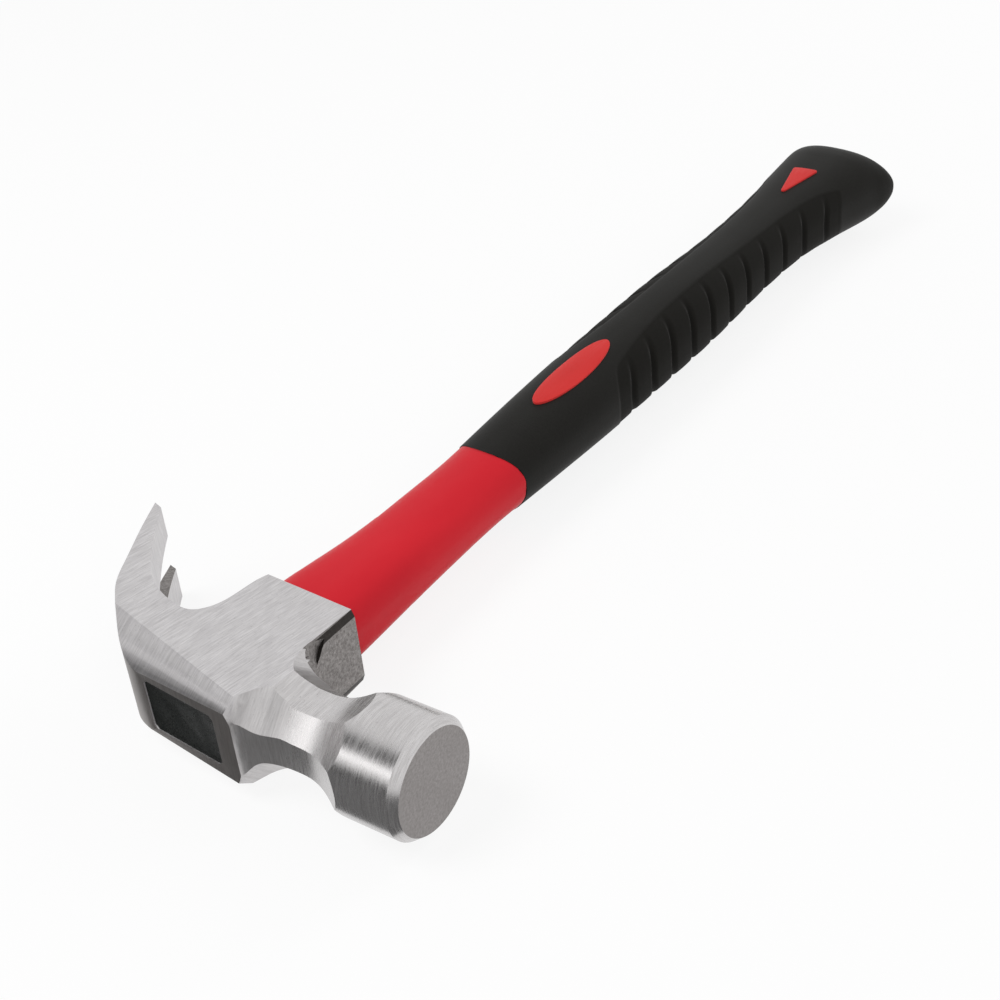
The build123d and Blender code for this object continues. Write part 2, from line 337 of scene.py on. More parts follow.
@dataclass(frozen=True)
class GroundSteel:
    """Bare steel with fine belt lines, faint clouding and small pits.

    With a matte_start, it is that much duller at the first X of matte_x and has its own polish from the
    second one on.
    """

    name: str
    light: Triple
    dark: Triple
    roughness: float
    grain: Grain = Grain.BELT
    turn: Triple = NO_TURN
    line_depth: float = 0.008 * MM
    matte_start: float = 0.0
    matte_x: Span = (-39.0 * MM, -29.0 * MM)
    line_span: Span = (0.28, 0.72)
    polish_span: Span = (-0.05, 0.07)
    cloud_scale: Triple = (120.0, 120.0, 120.0)
    cloud_share: float = 0.22
    pit_scale: Triple = (2600.0, 2600.0, 2600.0)
    pit_span: Span = (0.24, 0.36)
    pit_share: float = 0.35
    pit_tone: Triple = (0.10, 0.095, 0.09)
    pit_depth: float = 0.006 * MM

    def material(self) -> bpy.types.Material:
        """Build the material.

        Returns:
            The finished material.
        """
        paint = Paint(self.name)
        lines = paint.noise(self.grain.value, detail=4.0, turn=self.turn, roughness=0.7)
        cloud = paint.noise(self.cloud_scale, detail=4.0)
        pits = paint.noise(self.pit_scale, detail=2.0)
        tone = paint.blend(paint.ranged(lines, 0.0, 1.0, *self.line_span), self.dark, self.light)
        clouded = paint.blend(paint.ranged(cloud, 0.0, self.cloud_share), tone, self.dark)
        pitted = paint.blend(paint.ranged(pits, self.pit_share, 0.0, *self.pit_span), clouded, self.pit_tone)
        brightest, dullest = (self.roughness + change for change in self.polish_span)
        polish = paint.ranged(lines, brightest, dullest)
        if self.matte_start:
            polish = paint.add(polish, paint.along_x(self.matte_start, 0.0, *self.matte_x))
        normal = paint.bump(lines, self.line_depth, paint.bump(pits, self.pit_depth))
        return paint.finish(pitted, polish, normal, Metallic=1.0)


@dataclass(frozen=True)
class MouldedPlastic:
    """Smooth hard plastic with a soft sheen and a faint orange peel."""

    name: str
    light: Triple
    deep: Triple
    roughness: float = 0.34
    polish_span: Span = (-0.04, 0.08)
    cloud_scale: Triple = (60.0, 25.0, 60.0)
    peel_scale: Triple = (700.0, 700.0, 700.0)
    peel_depth: float = 0.01 * MM
    scuff_scale: Triple = (2500.0, 350.0, 2500.0)
    scuff_turn: Triple = (0.0, 0.0, 25.0)
    gloss: float = 0.06

    def material(self) -> bpy.types.Material:
        """Build the material.

        Returns:
            The finished material.
        """
        paint = Paint(self.name)
        cloud = paint.noise(self.cloud_scale)
        peel = paint.noise(self.peel_scale, detail=2.0)
        scuffs = paint.noise(self.scuff_scale, turn=self.scuff_turn)
        colour = paint.blend(paint.ranged(cloud, 0.0, 1.0), self.deep, self.light)
        brightest, dullest = (self.roughness + change for change in self.polish_span)
        polish = paint.ranged(scuffs, brightest, dullest)
        normal = paint.bump(peel, self.peel_depth)
        return paint.finish(colour, polish, normal, Specular_IOR_Level=self.gloss)


@dataclass(frozen=True)
class MouldedRubber:
    """Soft black rubber: satin spine and finely grained rib panels, told apart by the mesh's attributes,
    with painted shade darkening the groove valleys.
    """

    name: str = "grip_rubber"
    spine: Triple = (0.0110, 0.0105, 0.0092)
    bloom: Triple = (0.0175, 0.0170, 0.0160)
    bloom_scale: Triple = (90.0, 60.0, 90.0)
    bloom_share: float = 0.35
    panel: Triple = (0.0095, 0.0090, 0.0078)
    # painted shade: darker colour down in the groove valleys
    valley: Triple = (0.0050, 0.0047, 0.0040)
    grain_tone: Triple = (0.006, 0.0058, 0.005)
    grain_scale: Triple = (2400.0, 2400.0, 2400.0)
    grain_span: Span = (0.3, 0.6)
    grain_share: float = 0.45
    grain_depth: float = 0.03 * MM
    roughness: Span = (0.50, 0.68)
    gloss: float = 0.07

    def material(self) -> bpy.types.Material:
        """Build the material.

        Returns:
            The finished material.
        """
        paint = Paint(self.name)
        panel = paint.attribute("panel")
        groove = paint.attribute("groove")
        grain = paint.noise(self.grain_scale)
        bloom = paint.noise(self.bloom_scale)
        spotted = paint.blend(paint.ranged(bloom, 0.0, self.bloom_share), self.spine, self.bloom)
        zoned = paint.blend(panel, spotted, self.panel)
        specks = paint.ranged(grain, self.grain_share, 0.0, *self.grain_span)
        grained = paint.blend(specks, zoned, self.grain_tone)
        # The groove attribute darkens the valleys: painted shade.
        colour = paint.blend(groove, grained, self.valley)
        polish = paint.ranged(panel, *self.roughness, 0.0, 1.0)
        normal = paint.bump(grain, self.grain_depth)
        return paint.finish(colour, polish, normal, Specular_IOR_Level=self.gloss)


@dataclass(frozen=True)
class PottingResin:
    """Black epoxy with a wet gloss, gently wavy and a little dusty."""

    name: str = "potting_resin"
    black: Triple = (0.006, 0.007, 0.0065)
    haze: Triple = (0.020, 0.023, 0.021)
    swell_scale: Triple = (90.0, 90.0, 90.0)
    swell_depth: float = 0.5 * MM
    dust_scale: Triple = (1800.0, 1800.0, 1800.0)
    dust_span: Span = (0.45, 0.75)
    dust_depth: float = 0.01 * MM
    roughness: Span = (0.22, 0.38)
    gloss: float = 0.16

    def material(self) -> bpy.types.Material:
        """Build the material.

        Returns:
            The finished material.
        """
        paint = Paint(self.name)
        swell = paint.noise(self.swell_scale, detail=2.0)
        dust = paint.noise(self.dust_scale)
        colour = paint.blend(paint.ranged(dust, 0.0, 1.0, *self.dust_span), self.black, self.haze)
        polish = paint.ranged(dust, *self.roughness)
        normal = paint.bump(swell, self.swell_depth, paint.bump(dust, self.dust_depth))
        return paint.finish(colour, polish, normal, Specular_IOR_Level=self.gloss)


@dataclass(frozen=True)
class GlassFibre:
    """Pultruded rod with strands along it."""

    name: str = "glass_fibre"
    strand: Triple = (0.66, 0.62, 0.45)
    binder: Triple = (0.46, 0.41, 0.26)
    strand_scale: Triple = (3000.0, 40.0, 3000.0)
    strand_depth: float = 0.03 * MM
    roughness: Span = (0.45, 0.6)

    def material(self) -> bpy.types.Material:
        """Build the material.

        Returns:
            The finished material.
        """
        paint = Paint(self.name)
        strands = paint.noise(self.strand_scale)
        colour = paint.blend(paint.ranged(strands, 0.0, 1.0), self.binder, self.strand)
        polish = paint.ranged(strands, *self.roughness)
        normal = paint.bump(strands, self.strand_depth)
        return paint.finish(colour, polish, normal)


def select_only(piece: bpy.types.Object) -> None:
    """Make one object the only selected and the active one."""
    bpy.ops.object.select_all(action="DESELECT")
    piece.select_set(True)
    bpy.context.view_layer.objects.active = piece


def merged_copy(node: bpy.types.Object, name: str) -> bpy.types.Object:
    """Copy a CAD node as a mesh with joined faces.

    Args:
        node: The CAD node, which is left alone.
        name: Name of the copy.

    Returns:
        The copy, with its flat faces joined and its shading reset.
    """
    copy = bpy.data.objects.new(name, node.data.copy())
    bpy.context.scene.collection.objects.link(copy)
    copy.data.materials.clear()
    select_only(copy)
    bpy.ops.mesh.customdata_custom_splitnormals_clear()
    bpy.ops.object.mode_set(mode="EDIT")
    bpy.ops.mesh.select_all(action="SELECT")
    bpy.ops.mesh.remove_doubles(threshold=WELD)
    bpy.ops.mesh.dissolve_limited(angle_limit=math.radians(FLAT_ANGLE))
    bpy.ops.mesh.select_mode(type="FACE")
    bpy.ops.mesh.select_all(action="DESELECT")
    bpy.ops.object.mode_set(mode="OBJECT")
    return copy


def soften_edges(
    piece: bpy.types.Object, width: float, angle: float, segments: int = 2, limit: str = "ANGLE"
) -> None:
    """Round a piece's sharp edges and smooth its shading.

    Args:
        piece: The mesh object.
        width: Width of the rounding, in metres.
        angle: Least angle of an edge that is rounded, in degrees.
        segments: Faces across the rounding.
        limit: What picks the edges, ANGLE or WEIGHT.
    """
    select_only(piece)
    bevel = piece.modifiers.new("edges", "BEVEL")
    bevel.width = width
    bevel.segments = segments
    bevel.limit_method = limit
    bevel.angle_limit = math.radians(angle)
    bevel.use_clamp_overlap = True
    bevel.miter_outer = "MITER_ARC"
    bpy.ops.object.modifier_apply(modifier=bevel.name)
    bpy.ops.object.shade_smooth_by_angle(angle=math.radians(angle))


@dataclass
class EyeResin:
    """Resin poured into the eye, its top drawn down in a shallow dish."""

    top_y: float = -8.0 * MM
    top_share: float = 0.9
    rise: float = 0.6 * MM
    dish_width: float = 0.9 * MM
    dish_depth: float = 0.22 * MM

    def build(self, node: bpy.types.Object) -> bpy.types.Object:
        """Bring the resin up to the crown and press its dish in.

        Args:
            node: The CAD node of the resin.

        Returns:
            The finished resin.
        """
        resin = merged_copy(node, "resin")
        for face in resin.data.polygons:
            face.select = face.normal.y < -self.top_share and face.center.y < self.top_y
        bpy.ops.object.mode_set(mode="EDIT")
        bpy.ops.mesh.select_mode(type="FACE")
        bpy.ops.transform.translate(value=(0.0, -self.rise, 0.0))
        bpy.ops.mesh.inset(thickness=self.dish_width, depth=-self.dish_depth)
        bpy.ops.object.mode_set(mode="OBJECT")
        bpy.ops.object.shade_smooth_by_angle(angle=math.radians(SMOOTH_ANGLE))
        resin.data.materials.append(PottingResin().material())
        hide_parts("eye_resin")
        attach(resin, "root")
        return resin


@dataclass
class HammerHead:
    """Forged head: claw, cheeks, eye block, ground neck and poll.

    A field that ends in _share is a part of a face's unit normal, which tells the zones apart.
    """

    face_x: float = -0.3 * MM
    face_share: float = 0.985
    ground_x: float = -37.5 * MM
    hollow_x: float = -42.2 * MM
    hollow_share: float = 0.15
    cheek_share: float = 0.97
    skirt_y: float = 10.5 * MM
    bevel_share: float = 0.923
    bevel_slack: float = 0.02
    bevel_lean_share: float = 0.3
    overhang_share: float = 0.3
    crown_y: float = -5.5 * MM
    crown_share: float = 0.75
    claw_x: float = -80.0 * MM
    wall_share: float = 0.6
    slot_half: float = 7.0 * MM
    slant_shares: Span = (-0.58, 0.81)
    slant_slack: float = 0.03
    edge_width: float = 0.4 * MM
    edge_angle: float = 22.0
    neck_x: float = -42.0 * MM
    strips: int = 5
    crown_height: float = 12.2 * MM
    crown_tilt: float = 5.0
    half_thickness: float = 12.15 * MM
    cheek_flare: float = 3.3
    cheek_draft: float = 2.9
    least_depth: float = 0.001 * MM
    belt_turn: Triple = (0.0, 0.0, -6.0)

    def finishes(self) -> dict[Zone, GroundSteel]:
        """Steel of each zone.

        Returns:
            The finishes by zone.
        """
        cheek = ((0.72, 0.705, 0.71), (0.44, 0.425, 0.43))
        neck = ((0.67, 0.655, 0.655), (0.45, 0.435, 0.435))
        # skirt steel: the granular skirt's own tone, and painted shade on the claw slot's walls
        skirt = ((0.42, 0.40, 0.39), (0.11, 0.10, 0.095))
        face = ((0.37, 0.35, 0.345), (0.20, 0.185, 0.18))
        # near-black steel: painted shade for the skirt's corner bevels and overhangs
        bevel = ((0.055, 0.050, 0.047), (0.030, 0.027, 0.025))
        crown = ((0.42, 0.395, 0.385), (0.25, 0.23, 0.222))
        rough = Grain.GRANULAR
        return {
            Zone.CHEEK: GroundSteel("cheek_steel", *cheek, 0.38, turn=self.belt_turn),
            Zone.NECK: GroundSteel("neck_steel", *neck, 0.26, matte_start=0.13, line_depth=0.006 * MM),
            Zone.SKIRT: GroundSteel("skirt_and_slot_shade_steel", *skirt, 0.52, rough, line_depth=0.05 * MM),
            Zone.FACE: GroundSteel("face_steel", *face, 0.45, rough, line_depth=0.02 * MM),
            Zone.BEVEL: GroundSteel("bevel_painted_shade_steel", *bevel, 0.45, rough),
            Zone.SLANT: GroundSteel("roll_steel", *cheek, 0.56, turn=self.belt_turn),
            Zone.CROWN: GroundSteel("crown_steel", *crown, 0.42),
        }

    def zone(self, face: bpy.types.MeshPolygon) -> Zone:
        """Zone of a face.

        Args:
            face: The face.

        Returns:
            Its zone.
        """
        centre, normal = face.center, face.normal
        if self.is_slant(face):
            return Zone.SLANT
        if normal.x > self.face_share and centre.x > self.face_x:
            return Zone.FACE
        if centre.x > self.ground_x:
            return Zone.NECK
        if centre.x > self.hollow_x:
            return self.run_out_zone(centre, normal)
        if normal.y < -self.crown_share and centre.y < self.crown_y:
            return Zone.CROWN
        # The claw slot's inward walls take the dark skirt steel as painted shade.
        inward = abs(normal.z) > self.wall_share and centre.z * normal.z < 0
        if centre.x < self.claw_x and inward and abs(centre.z) < self.slot_half:
            return Zone.SKIRT
        return Zone.CHEEK

    def run_out_zone(self, centre: Vector, normal: Vector) -> Zone:
        """Zone of a face where the neck's hollows run out into the eye block.

        Args:
            centre: The face's centre.
            normal: The face's normal.

        Returns:
            Its zone.
        """
        hollow = normal.x > self.hollow_share and abs(normal.z) < self.cheek_share
        if centre.y < self.skirt_y:
            return Zone.NECK if hollow else Zone.CHEEK
        # Bevel and overhang faces of the skirt take the near-black steel, painted shade
        bevel = abs(normal.x - self.bevel_share) < self.bevel_slack and abs(normal.z) > self.bevel_lean_share
        if bevel or normal.y < -self.overhang_share:
            return Zone.BEVEL
        return Zone.SKIRT if hollow else Zone.CHEEK

    def is_slant(self, face: bpy.types.MeshPolygon) -> bool:
        """Whether a face is one of the slants between a cheek and the crown.

        Args:
            face: The face.

        Returns:
            True for a slant.
        """
        along_y, along_z = self.slant_shares
        level = abs(face.normal.y - along_y) < self.slant_slack
        steep = abs(abs(face.normal.z) - along_z) < self.slant_slack
        return level and steep and face.center.x < self.neck_x

    def mark_edges(self, head: bpy.types.Object) -> None:
        """Weigh the block's and the claw's crisp edges, so that only they are rounded.

        Args:
            head: The head's mesh object.
        """
        mesh = head.data
        faces: dict[tuple[int, int], list[bpy.types.MeshPolygon]] = {}
        for face in mesh.polygons:
            for key in face.edge_keys:
                faces.setdefault(key, []).append(face)
        weights = mesh.attributes.new("bevel_weight_edge", "FLOAT", "EDGE")
        for edge in mesh.edges:
            sides = faces[edge.key]
            turn = sides[0].normal.angle(sides[1].normal) if len(sides) == 2 else 0.0
            crisp = turn > math.radians(self.edge_angle)
            rolled = any(self.is_slant(side) for side in sides)
            behind = all(mesh.vertices[number].co.x < self.neck_x for number in edge.vertices)
            if crisp and behind and not rolled:
                weights.data[edge.index].value = 1.0

    def roll_share(self, place: Vector, cheek: Vector, crown: Vector, corner: Vector) -> float:
        """How far a place has rolled over from the cheek (0) to the crown (1).

        Args:
            place: The place.
            cheek: The cheek's normal.
            crown: The crown's normal.
            corner: A point where the two planes would meet.

        Returns:
            The share of the turn.
        """
        under_cheek = max(0.0, (corner - place).dot(cheek))
        under_crown = max(0.0, (corner - place).dot(crown))
        return under_cheek / max(under_cheek + under_crown, self.least_depth)

    def roll_slants(self, head: bpy.types.Object) -> None:
        """Cut each slant into strips and shade them as one broad round from the cheek to the crown.

        Args:
            head: The head's mesh object.
        """
        mesh = head.data
        crown = Vector((-math.tan(math.radians(self.crown_tilt)), -1.0, 0.0)).normalized()
        flare = math.tan(math.radians(self.cheek_flare))
        draft = math.tan(math.radians(self.cheek_draft))
        cheeks = {side: Vector((flare, draft, side)).normalized() for side in (1, -1)}
        top = self.half_thickness + draft * self.crown_height
        corners = {side: Vector((AXIS_X, -self.crown_height, side * top)) for side in (1, -1)}
        for side in (1, -1):
            for strip in range(1, self.strips):
                share = strip / self.strips
                select_only(head)
                for face in mesh.polygons:
                    face.select = self.is_slant(face) and face.normal.z * side > 0
                bpy.ops.object.mode_set(mode="EDIT")
                way = cheeks[side] * (1 - share) - crown * share
                bpy.ops.mesh.bisect(plane_co=corners[side], plane_no=way)
                bpy.ops.object.mode_set(mode="OBJECT")
        normals: dict[int, Vector] = {}
        for face in mesh.polygons:
            if self.is_slant(face):
                side = 1 if face.normal.z > 0 else -1
                for loop in face.loop_indices:
                    place = mesh.vertices[mesh.loops[loop].vertex_index].co
                    share = self.roll_share(place, cheeks[side], crown, corners[side])
                    normals[loop] = cheeks[side].slerp(crown, share)
        kept = [Vector(normal.vector) for normal in mesh.corner_normals]
        for loop, normal in normals.items():
            kept[loop] = normal.normalized()
        mesh.normals_split_custom_set(kept)

    def build(self, node: bpy.types.Object) -> bpy.types.Object:
        """Soften the head's edges and give each zone its steel.

        Args:
            node: The CAD node of the head.

        Returns:
            The finished head.
        """
        head = merged_copy(node, "head")
        finishes = self.finishes()
        for zone in Zone:
            head.data.materials.append(finishes[zone].material())
        for face in head.data.polygons:
            face.material_index = self.zone(face).value
        self.mark_edges(head)
        soften_edges(head, self.edge_width, self.edge_angle, limit="WEIGHT")
        self.roll_slants(head)
        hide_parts("hammer_head")
        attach(head, "root")
        return head


@dataclass
class HandleJacket:
    """Hard jacket, drawn on under the front edge of the grip."""

    end: float = 96.5 * MM
    lap: float = 5.0 * MM
    stem_width: float = 9.1 * MM
    stem_thickness: float = 7.3 * MM
    stem_share: float = 1.03
    end_slack: float = 0.05 * MM
    finish: MouldedPlastic = MouldedPlastic("jacket_plastic", (0.60, 0.020, 0.030), (0.55, 0.017, 0.027))

    def build(self, node: bpy.types.Object) -> bpy.types.Object:
        """Carry the jacket's end under the grip and dress it.

        Args:
            node: The CAD node of the jacket.

        Returns:
            The finished jacket.
        """
        jacket = merged_copy(node, "jacket")
        for vertex in jacket.data.vertices:
            across = (vertex.co.x - AXIS_X) / self.stem_width
            reach = math.hypot(across, vertex.co.z / self.stem_thickness)
            if reach > self.stem_share and abs(vertex.co.y - self.end) < self.end_slack:
                vertex.co.y += self.lap
        bpy.ops.object.shade_smooth_by_angle(angle=math.radians(SMOOTH_ANGLE))
        jacket.data.materials.append(self.finish.material())
        jacket.visible_glossy = False
        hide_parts("handle_jacket")
        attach(jacket, "root")
        return jacket


@dataclass
class GripSleeve:
    """Rubber sleeve: smooth spine, ribbed panels on both edges and a rounded, flared butt.

    Its lengths are in millimetres. A station gives the place along the sleeve, the shares of its width and
    thickness, its shift toward the striking face as a share of the width, its share of the butt's slant and
    its squareness, which is 2 for an oval. A spine row gives the place along the panels and the spine's half
    width as a share of the sleeve's width.
    """

    start: float = 96.5
    length: float = 210.15
    width: float = 27.2
    thickness: float = 21.8
    slant: float = 7.0
    around: int = 160
    along: int = 440
    panel_front: float = 143.0
    panel_rear: float = 279.0
    panel_recess: float = 0.22
    panel_side: Span = (-0.2, 0.5)
    panel_front_edge: Span = (-3.4, -2.4)
    panel_rear_edge: Span = (-6.0, -4.5)
    groove_first: float = 148.2
    groove_pitch: float = 10.6
    groove_growth: float = 0.27
    groove_count: int = 11
    groove_bow: float = 5.0
    groove_bow_height: float = 9.5
    groove_bow_limit: float = 7.0
    groove_reach: float = 1.8
    groove_fade: float = 6.5
    edge_bow: float = 3.6
    edge_lead: float = 1.5
    edge_slant: float = 0.9
    edge_run_share: float = 0.12
    groove_depth: float = 1.0
    pillow: float = 0.10
    pillow_reach: float = 5.0
    row_power: float = 0.92
    seam_weld: float = 0.01
    smooth_angle: float = 40.0
    stations: tuple[tuple[float, ...], ...] = (
        (0.0, 0.815, 0.818, 0.0, 0.0, 2.4),
        (0.08, 0.872, 0.875, 0.0, 0.0, 2.4),
        (0.205, 0.945, 0.945, 0.0, 0.0, 2.4),
        (0.34, 0.985, 0.985, 0.0, 0.0, 2.4),
        (0.475, 1.0, 1.0, 0.0, 0.0, 2.4),
        (0.63, 0.93, 0.94, 0.0, 0.0, 2.4),
        (0.75, 0.965, 0.96, 0.0, 0.0, 2.4),
        (0.85, 1.11, 1.03, 0.02, 0.2, 2.5),
        (0.92, 1.25, 1.10, 0.05, 0.6, 2.6),
        (0.945, 1.31, 1.11, 0.06, 0.8, 2.6),
        (0.966, 1.38, 1.06, 0.07, 0.9, 2.5),
        (0.984, 1.42, 0.90, 0.075, 1.0, 2.5),
        (0.995, 1.40, 0.60, 0.075, 1.0, 2.5),
        (1.0, 1.28, 0.28, 0.065, 1.0, 2.4),
    )
    spine: tuple[Span, ...] = (
        (-0.05, 0.62),
        (0.0, 0.40),
        (0.029, 0.312),
        (0.066, 0.279),
        (0.147, 0.228),
        (0.243, 0.195),
        (0.331, 0.188),
        (0.412, 0.191),
        (0.5, 0.202),
        (0.625, 0.224),
        (0.75, 0.25),
        (0.838, 0.29),
        (0.912, 0.349),
        (0.978, 0.45),
        (1.0, 0.53),
        (1.05, 0.75),
    )

    def __post_init__(self) -> None:
        """Draw the smooth curves through the tables and place the grooves along the handle."""
        self.curves = [column_spline(self.stations, column) for column in range(1, 6)]
        self.spine_curve = column_spline(self.spine, 1)
        self.valleys = [
            self.groove_first + n * self.groove_pitch + n * (n - 1) / 2 * self.groove_growth
            for n in range(self.groove_count)
        ]

    def surface(self, share: float, turn: float) -> tuple[Vector, Vector, float]:
        """Point of the plain sleeve before its ribs.

        Args:
            share: Place along the sleeve, from 0 to 1.
            turn: Angle round the sleeve, in radians.

        Returns:
            The point, its outward direction and the section's centre, in millimetres.
        """
        wide, thick, shift, slant, power = (curve(share) for curve in self.curves)
        cosine, sine = math.cos(turn), math.sin(turn)
        half_width, half_thickness = wide * self.width / 2, thick * self.thickness / 2
        across = math.copysign(abs(cosine) ** (2 / power), cosine)
        up = math.copysign(abs(sine) ** (2 / power), sine)
        lean = math.radians(slant * self.slant)
        centre = shift * self.width
        edge = self.edge_bow * cosine**2 - self.edge_lead - self.edge_slant * cosine
        edge *= 1 - smoothstep(0.0, self.edge_run_share, share)
        point = Vector(
            (
                centre + across * half_width * math.cos(lean),
                self.start + share * self.length - across * half_width * math.sin(lean) + edge,
                up * half_thickness,
            )
        )
        outward = Vector(
            (
                math.copysign(abs(across) ** (power - 1), across) / half_width,
                0.0,
                math.copysign(abs(up) ** (power - 1), up) / half_thickness,
            )
        ).normalized()
        return point, outward, centre

    def relief(self, point: Vector, centre: float) -> tuple[float, float, float]:
        """Depth of the panel and its grooves at a point.

        Args:
            point: A point of the plain sleeve, in millimetres.
            centre: X of the section's centre.

        Returns:
            The depth, the share of the panel and the share of the groove.
        """
        bow = self.groove_bow * (point.z / self.groove_bow_height) ** 2
        place = point.y - min(bow, self.groove_bow_limit)
        run = (point.y - self.panel_front) / (self.panel_rear - self.panel_front)
        if not self.spine[0][0] < run < self.spine[-1][0]:
            return 0.0, 0.0, 0.0
        edge = self.spine_curve(run) * self.width
        aside = abs(point.x - centre)
        panel = smoothstep(*(edge + shift for shift in self.panel_side), aside)
        panel *= smoothstep(*(self.panel_front + shift for shift in self.panel_front_edge), place)
        panel *= 1 - smoothstep(*(self.panel_rear + shift for shift in self.panel_rear_edge), place)
        nearest = min(abs(place - valley) for valley in self.valleys)
        groove = 0.5 + 0.5 * math.cos(math.pi * min(1.0, nearest / self.groove_reach))
        groove *= smoothstep(edge, edge + self.groove_fade, aside)
        pillow = self.pillow * (1 - min(1.0, nearest / self.pillow_reach))
        return panel * (self.panel_recess + pillow + groove * self.groove_depth), panel, panel * groove

    def build(self) -> bpy.types.Object:
        """Wrap a grid into the sleeve, close its ends and press in the panels.

        Returns:
            The finished sleeve.
        """
        bpy.ops.object.select_all(action="DESELECT")
        bpy.ops.mesh.primitive_grid_add(x_subdivisions=self.around, y_subdivisions=self.along, size=1.0)
        sleeve = bpy.context.object
        sleeve.name = "grip"
        panels, grooves = [], []
        for vertex in sleeve.data.vertices:
            turn = (vertex.co.x + 0.5) * 2 * math.pi
            share = (vertex.co.y + 0.5) ** self.row_power
            point, outward, centre = self.surface(share, turn)
            depth, panel, groove = self.relief(point, centre)
            place = point - outward * depth
            vertex.co = Vector((place.x * MM + AXIS_X, place.y * MM, place.z * MM))
            panels.append(panel)
            grooves.append(groove)
        for name, values in (("panel", panels), ("groove", grooves)):
            layer = sleeve.data.attributes.new(name, "FLOAT", "POINT")
            layer.data.foreach_set("value", values)
        bpy.ops.object.mode_set(mode="EDIT")
        bpy.ops.mesh.select_all(action="SELECT")
        bpy.ops.mesh.remove_doubles(threshold=self.seam_weld * MM)
        bpy.ops.mesh.select_all(action="DESELECT")
        bpy.ops.mesh.select_mode(type="EDGE")
        bpy.ops.mesh.select_non_manifold(
            extend=False,
            use_wire=False,
            use_multi_face=False,
            use_non_contiguous=False,
            use_verts=False,
        )
        bpy.ops.mesh.edge_face_add()
        bpy.ops.mesh.select_all(action="SELECT")
        bpy.ops.mesh.normals_make_consistent(inside=False)
        bpy.ops.object.mode_set(mode="OBJECT")
        select_only(sleeve)
        bpy.ops.object.shade_smooth_by_angle(angle=math.radians(self.smooth_angle))
        sleeve.data.materials.append(MouldedRubber().material())
        sleeve.visible_glossy = False
        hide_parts("grip_sleeve")
        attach(sleeve, "root")
        return sleeve


@dataclass
class Inlay:
    """Raised inlay on the near face of the grip, narrower than its solid and a little off the middle."""

    name: str
    narrowing: float
    shift: float
    rim: float = 0.32 * MM
    rim_angle: float = 40.0
    rim_faces: int = 3

    def build(self, node: bpy.types.Object, finish: bpy.types.Material) -> bpy.types.Object:
        """Narrow the inlay, round its rim and dress it.

        Args:
            node: The CAD node of the inlay.
            finish: The inlays' material.

        Returns:
            The finished inlay.
        """
        inlay = merged_copy(node, self.name)
        for vertex in inlay.data.vertices:
            vertex.co.x = AXIS_X + self.shift + (vertex.co.x - AXIS_X) * self.narrowing
        soften_edges(inlay, self.rim, self.rim_angle, self.rim_faces)
        inlay.data.materials.append(finish)
        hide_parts(node.name)
        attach(inlay, "root")
        return inlay


@dataclass(frozen=True)
class Lamp:
    """One soft lamp: where it hangs, the width of its face and its power in watts."""

    name: str
    place: Triple
    size: float
    power: float


@dataclass(frozen=True)
class Card:
    """One card that only reflections see: its way from the head, level width, height and tone."""

    name: str
    way: Triple
    width: float
    height: float
    tone: float


def plain_glow(tree: bpy.types.NodeTree, tone: float) -> bpy.types.NodeSocket:
    """Light of one even grey.

    Args:
        tree: The node tree that gets the node.
        tone: How bright it is, from 0 for black.

    Returns:
        The shader socket.
    """
    glow = tree.nodes.new("ShaderNodeEmission")
    glow.inputs["Color"].default_value = (tone, tone, tone, 1.0)
    glow.inputs["Strength"].default_value = 1.0
    return glow.outputs[0]


